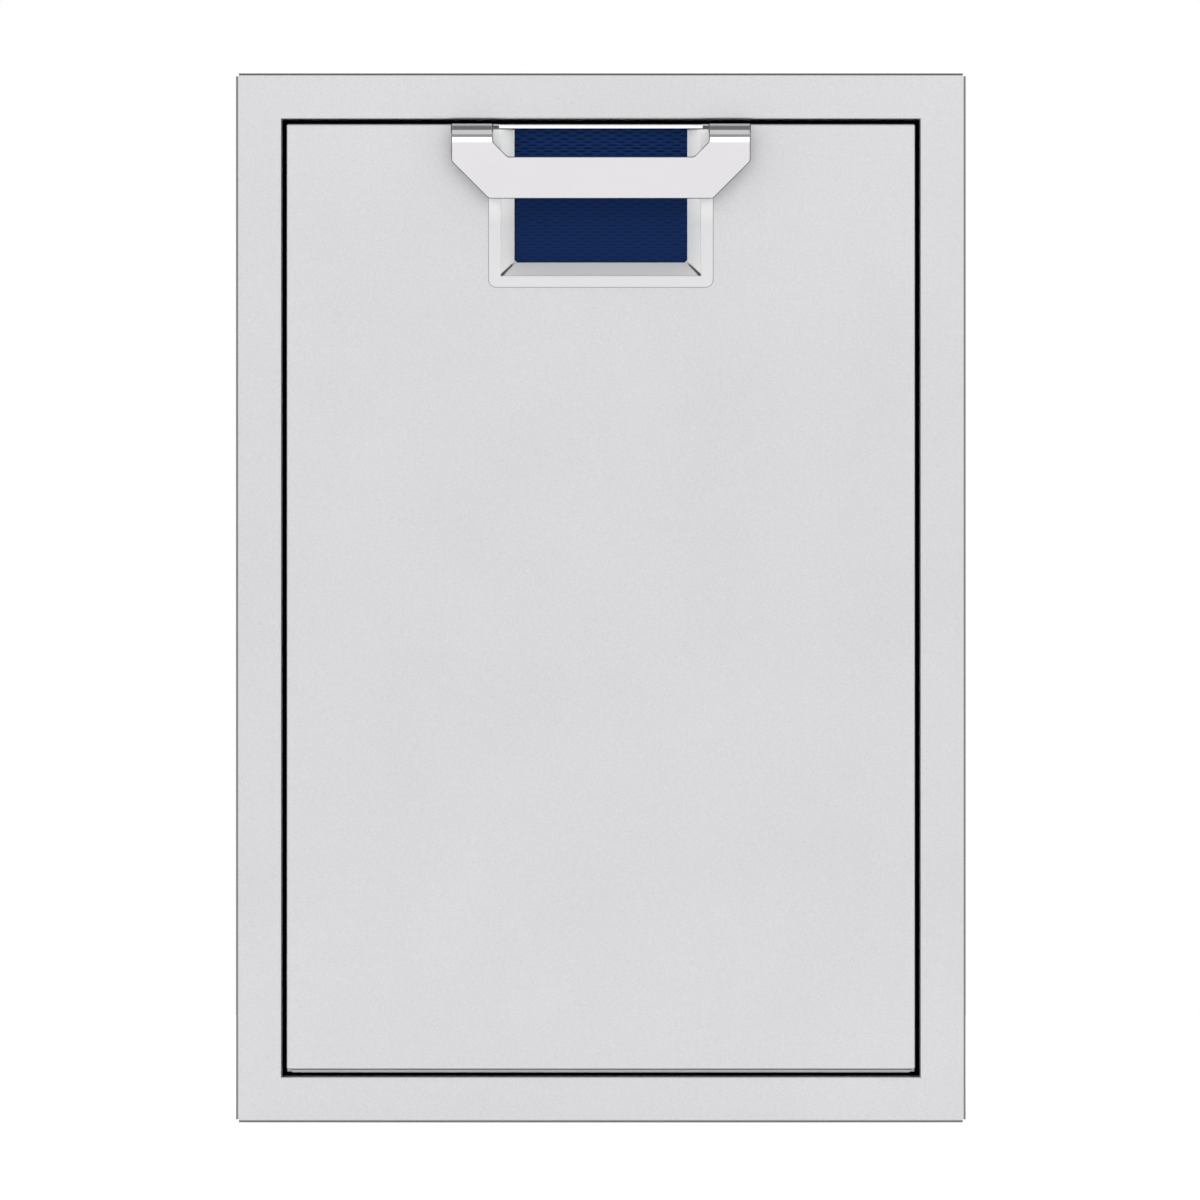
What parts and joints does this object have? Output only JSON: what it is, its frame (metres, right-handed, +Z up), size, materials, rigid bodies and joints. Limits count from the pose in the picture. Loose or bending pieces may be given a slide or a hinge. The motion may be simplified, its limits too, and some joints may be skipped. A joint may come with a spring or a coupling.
{
  "type": "pull-out trash drawer",
  "caption": "Built-in stainless pull-out trash drawer: flanged frame, tall flat front with bent handle over a blue finger pocket, telescopic ball slides, tray and lift-out bins.",
  "frame": {"origin": "middle of the flange's bottom edge, on the plane of the flange's back edge, which bears on the counter's face", "axes": "+X to the right seen from the front, +Y into the counter, +Z up; the front faces -Y"},
  "size_m": [0.508, 0.5685, 0.7303],
  "materials": {
    "panel_steel": "satin",
    "handle_steel": "bright satin",
    "sheet_steel": "mill satin",
    "zinc_steel": "bright zinc",
    "ball_steel": "polished",
    "navy_paint": "semi-gloss",
    "black_rubber": "matt",
    "bin_plastic": "fine grain",
    "cage_plastic": "natural"
  },
  "bodies": {
    "housing": {"face_frame": "panel_steel", "frame_gasket": "black_rubber", "base_panel": "sheet_steel", "back_panel": "sheet_steel", "housing_rivets": "zinc_steel", "left_side_panel": "sheet_steel", "right_side_panel": "sheet_steel", "left_outer_rail": "zinc_steel", "right_outer_rail": "zinc_steel", "rail_bumpers": "black_rubber", "outer_rail_screws": "zinc_steel"},
    "drawer": {"front_skin": "panel_steel", "front_liner": "sheet_steel", "pocket_bezel": "handle_steel", "accent_panel": "navy_paint", "accent_backing": "sheet_steel", "handle": "handle_steel", "handle_backing_plates": "zinc_steel", "handle_screws": "zinc_steel", "carriage_tray": "sheet_steel", "left_front_bracket": "sheet_steel", "right_front_bracket": "sheet_steel", "carriage_rivets": "zinc_steel", "bin_divider": "sheet_steel", "bin_stops": "sheet_steel", "left_inner_rail": "zinc_steel", "right_inner_rail": "zinc_steel", "inner_rail_screws": "zinc_steel"},
    "front_bin": {"front_bin": "bin_plastic"},
    "rear_bin": {"rear_bin": "bin_plastic"},
    "left_middle": {"left_middle_rail": "zinc_steel"},
    "left_outer_carrier": {"left_outer_cage": "cage_plastic", "left_outer_balls": "ball_steel"},
    "left_inner_carrier": {"left_inner_cage": "cage_plastic", "left_inner_balls": "ball_steel"},
    "right_middle": {"right_middle_rail": "zinc_steel"},
    "right_outer_carrier": {"right_outer_cage": "cage_plastic", "right_outer_balls": "ball_steel"},
    "right_inner_carrier": {"right_inner_cage": "cage_plastic", "right_inner_balls": "ball_steel"}
  },
  "joints": [
    {"name": "drawer_pull", "type": "slide", "parent": "housing", "child": "drawer", "axis": [0, -1, 0], "range_m": [0, 0.5]},
    {"name": "left_middle_run", "type": "slide", "parent": "housing", "child": "left_middle", "axis": [0, -1, 0], "range_m": [0, 0.25]},
    {"name": "left_outer_carrier_run", "type": "slide", "parent": "housing", "child": "left_outer_carrier", "axis": [0, -1, 0], "range_m": [0, 0.125]},
    {"name": "left_inner_carrier_run", "type": "slide", "parent": "housing", "child": "left_inner_carrier", "axis": [0, -1, 0], "range_m": [0, 0.375]},
    {"name": "right_middle_run", "type": "slide", "parent": "housing", "child": "right_middle", "axis": [0, -1, 0], "range_m": [0, 0.25]},
    {"name": "right_outer_carrier_run", "type": "slide", "parent": "housing", "child": "right_outer_carrier", "axis": [0, -1, 0], "range_m": [0, 0.125]},
    {"name": "right_inner_carrier_run", "type": "slide", "parent": "housing", "child": "right_inner_carrier", "axis": [0, -1, 0], "range_m": [0, 0.375]},
    {"name": "front_bin_lift", "type": "slide", "parent": "drawer", "child": "front_bin", "axis": [0, 0, 1], "range_m": [0, 0.6]},
    {"name": "rear_bin_lift", "type": "slide", "parent": "drawer", "child": "rear_bin", "axis": [0, 0, 1], "range_m": [0, 0.6]}
  ],
  "couplings": [
    {"joint": "left_middle_run", "follows": "drawer_pull", "ratio": 0.5},
    {"joint": "left_outer_carrier_run", "follows": "drawer_pull", "ratio": 0.25},
    {"joint": "left_inner_carrier_run", "follows": "drawer_pull", "ratio": 0.75},
    {"joint": "right_middle_run", "follows": "drawer_pull", "ratio": 0.5},
    {"joint": "right_outer_carrier_run", "follows": "drawer_pull", "ratio": 0.25},
    {"joint": "right_inner_carrier_run", "follows": "drawer_pull", "ratio": 0.75}
  ]
}
